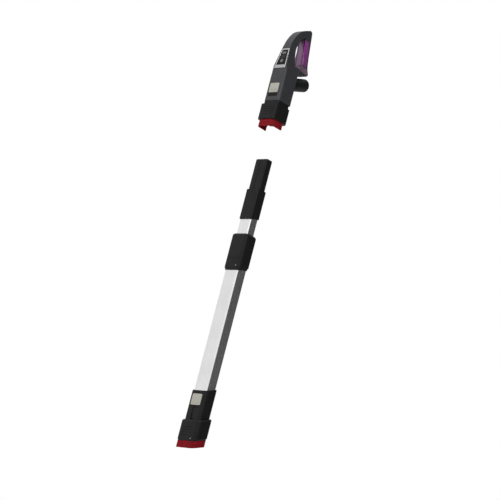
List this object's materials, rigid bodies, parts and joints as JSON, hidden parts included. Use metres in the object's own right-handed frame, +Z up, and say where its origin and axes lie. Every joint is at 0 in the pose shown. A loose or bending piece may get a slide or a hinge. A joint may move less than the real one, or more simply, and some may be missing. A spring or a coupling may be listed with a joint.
{
  "type": "cordless stick vacuum handle and wand",
  "caption": "Control handle with a looped hand grip and hose stub, drawn above its telescopic suction wand; both ends carry a release button and a sliding dusting brush.",
  "frame": {"origin": "on the wand's axis, level with the middle of the hand grip", "axes": "+Z up along the wand, -Y towards the control panel and release buttons, +X across"},
  "size_m": [0.071, 0.1212, 1.1865],
  "materials": {
    "shell_grey": "satin moulded charcoal grey",
    "moulding_black": "satin moulded near black",
    "grip_purple": "satin purple",
    "bezel_chrome": "bright plated",
    "panel_gloss": "piano black",
    "key_grey": "satin",
    "button_champagne": "champagne silver lacquer",
    "tube_aluminium": "satin anodised",
    "bristle_red": "soft bristle",
    "steel": "machined",
    "board_green": "circuit board",
    "seal_rubber": "moulded",
    "bush_white": "acetal"
  },
  "bodies": {
    "handle": {"shell_left": "shell_grey", "shell_right": "shell_grey", "shell_screw_1": "steel", "shell_screw_2": "steel", "shell_screw_3": "steel", "shell_screw_4": "steel", "grip_liner": "grip_purple", "wand_socket": "moulding_black", "latch_pin": "steel", "air_duct": "moulding_black", "hose_port": "moulding_black", "panel_bezel": "bezel_chrome", "panel_lens": "panel_gloss", "control_board": "board_green", "power_switch": "seal_rubber", "mode_switch": "seal_rubber", "control_lead": "seal_rubber"},
    "swivel": {"hose_swivel": "moulding_black"},
    "power_key": {"power_button": "key_grey"},
    "mode_key": {"mode_button": "key_grey"},
    "handle_catch": {"release_button": "button_champagne", "latch_lever": "moulding_black"},
    "upper_brush": {"brush_collar": "moulding_black", "brush_bristles": "bristle_red"},
    "wand_upper": {"wand_spigot": "moulding_black", "spigot_nose": "moulding_black", "wand_block": "moulding_black", "inner_tube": "tube_aluminium", "lock_rack": "bush_white", "inner_bush": "bush_white"},
    "wand_lower": {"outer_tube": "tube_aluminium", "lock_base": "moulding_black", "wiper_ring": "seal_rubber", "coupling_body": "moulding_black", "coupling_pin": "steel"},
    "lock_slide": {"lock_sleeve": "moulding_black"},
    "pawl": {"lock_pawl": "steel"},
    "coupling_catch": {"coupling_button": "button_champagne", "coupling_lever": "moulding_black"},
    "foot_brush": {"lower_brush_collar": "moulding_black", "lower_brush_bristles": "bristle_red"}
  },
  "joints": [
    {"name": "wand_pull", "type": "slide", "parent": "handle", "child": "wand_upper", "axis": [0, 0, 1], "range_m": [0, 0.191]},
    {"name": "telescope", "type": "slide", "parent": "wand_upper", "child": "wand_lower", "axis": [0, 0, -1], "range_m": [-0.034, 0.245]},
    {"name": "lock_release", "type": "slide", "parent": "wand_lower", "child": "lock_slide", "axis": [0, 0, 1], "range_m": [0, 0.006], "stiffness_N_per_m": 400, "springref_m": -0.006},
    {"name": "pawl_lift", "type": "slide", "parent": "wand_lower", "child": "pawl", "axis": [0, 1, 0], "range_m": [0, 0.0012]},
    {"name": "handle_release", "type": "hinge", "parent": "handle", "child": "handle_catch", "pos_m": [0, -0.0215, -0.141], "axis": [-1, 0, 0], "range_deg": [0, 5], "stiffness_Nm_per_rad": 0.4, "springref_deg": -8.59},
    {"name": "coupling_release", "type": "hinge", "parent": "wand_lower", "child": "coupling_catch", "pos_m": [0, -0.0169, -1.0032], "axis": [-1, 0, 0], "range_deg": [0, 5], "stiffness_Nm_per_rad": 0.4, "springref_deg": -8.59},
    {"name": "brush_slide", "type": "slide", "parent": "handle", "child": "upper_brush", "axis": [0, 0, 1], "range_m": [0, 0.01]},
    {"name": "foot_brush_slide", "type": "slide", "parent": "wand_lower", "child": "foot_brush", "axis": [0, 0, 1], "range_m": [0, 0.016]},
    {"name": "hose_turn", "type": "hinge", "parent": "handle", "child": "swivel", "pos_m": [0, 0.06525, -0.07289], "axis": [0, 0.9367, 0.3502], "continuous": true},
    {"name": "power_press", "type": "slide", "parent": "handle", "child": "power_key", "axis": [0, 0.9935, -0.1142], "range_m": [0, 0.0008], "stiffness_N_per_m": 500, "springref_m": -0.001},
    {"name": "mode_press", "type": "slide", "parent": "handle", "child": "mode_key", "axis": [0, 0.9935, -0.1142], "range_m": [0, 0.0008], "stiffness_N_per_m": 500, "springref_m": -0.001}
  ],
  "couplings": [
    {"joint": "pawl_lift", "follows": "lock_release", "ratio": 0.2}
  ]
}
